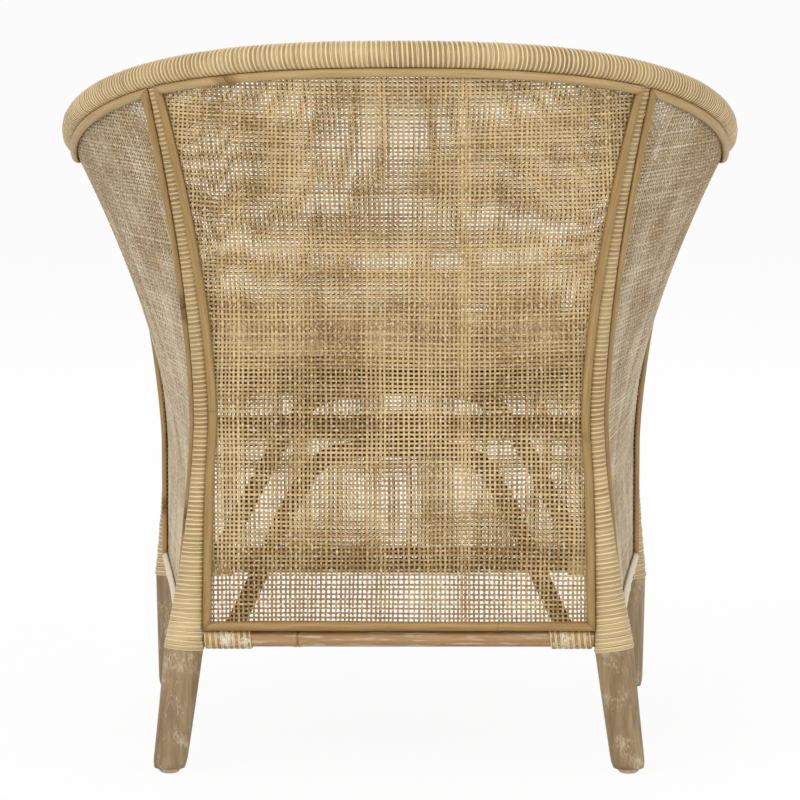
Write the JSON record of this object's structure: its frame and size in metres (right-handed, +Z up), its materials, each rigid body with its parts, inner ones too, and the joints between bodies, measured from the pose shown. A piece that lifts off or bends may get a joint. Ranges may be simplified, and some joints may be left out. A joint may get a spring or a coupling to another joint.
{
  "type": "rattan tub armchair",
  "caption": "Low rattan tub armchair: a bound horseshoe rail on flared bound posts, open woven cane skins inside and out with half-round trims, a woven seat and arched braces below it.",
  "frame": {"origin": "on the floor under the middle of the bounding box", "axes": "+Z up, -Y towards the front, +Y towards the back, +X on the sitter's left"},
  "size_m": [0.711, 0.6649, 0.768],
  "materials": {
    "peel": "satin rattan peel",
    "cane": "matt woven cane",
    "trim": "satin split rattan",
    "pole": "satin rattan pole",
    "leg": "limewashed rattan",
    "glide": "moulded plastic"
  },
  "bodies": {
    "root": {"top_rail": "pole", "top_rail_binding": "peel", "rear_post_left": "leg", "rear_post_right": "leg", "front_post_left": "leg", "front_post_right": "leg", "rear_post_binding_left": "peel", "rear_post_binding_right": "peel", "front_post_binding_left": "peel", "front_post_binding_right": "peel", "foot_glide_rear_left": "glide", "foot_glide_rear_right": "glide", "foot_glide_front_left": "glide", "foot_glide_front_right": "glide", "bottom_rail_rear": "pole", "bottom_rail_front": "pole", "bottom_rail_left": "pole", "bottom_rail_right": "pole", "lashing_rear_left": "peel", "lashing_rear_right": "peel", "lashing_front_left": "peel", "lashing_front_right": "peel", "lashing_left_rear": "peel", "lashing_left_front": "peel", "lashing_right_rear": "peel", "lashing_right_front": "peel", "seat_rail_rear": "pole", "seat_rail_front": "pole", "seat_rail_left": "pole", "seat_rail_right": "pole", "seat_deck": "cane", "seat_stretcher_rear": "pole", "seat_stretcher_front": "pole", "arch_brace_rear": "pole", "arch_brace_front": "pole", "rear_panel": "cane", "side_panel_left": "cane", "side_panel_right": "cane", "front_panel": "cane", "rear_trim_left": "trim", "rear_trim_right": "trim", "rear_trim_bottom": "trim", "rear_trim_top": "trim", "side_trim_rear_left": "trim", "side_trim_front_left": "trim", "side_trim_bottom_left": "trim", "side_trim_top_left": "trim", "side_trim_rear_right": "trim", "side_trim_front_right": "trim", "side_trim_bottom_right": "trim", "side_trim_top_right": "trim", "front_trim_left": "trim", "front_trim_right": "trim", "front_trim_bottom": "trim", "front_trim_top": "trim", "inner_panel": "cane", "inner_trim_top": "trim", "inner_trim_seat": "trim", "inner_trim_front_left": "trim", "inner_trim_front_right": "trim"}
  },
  "joints": []
}
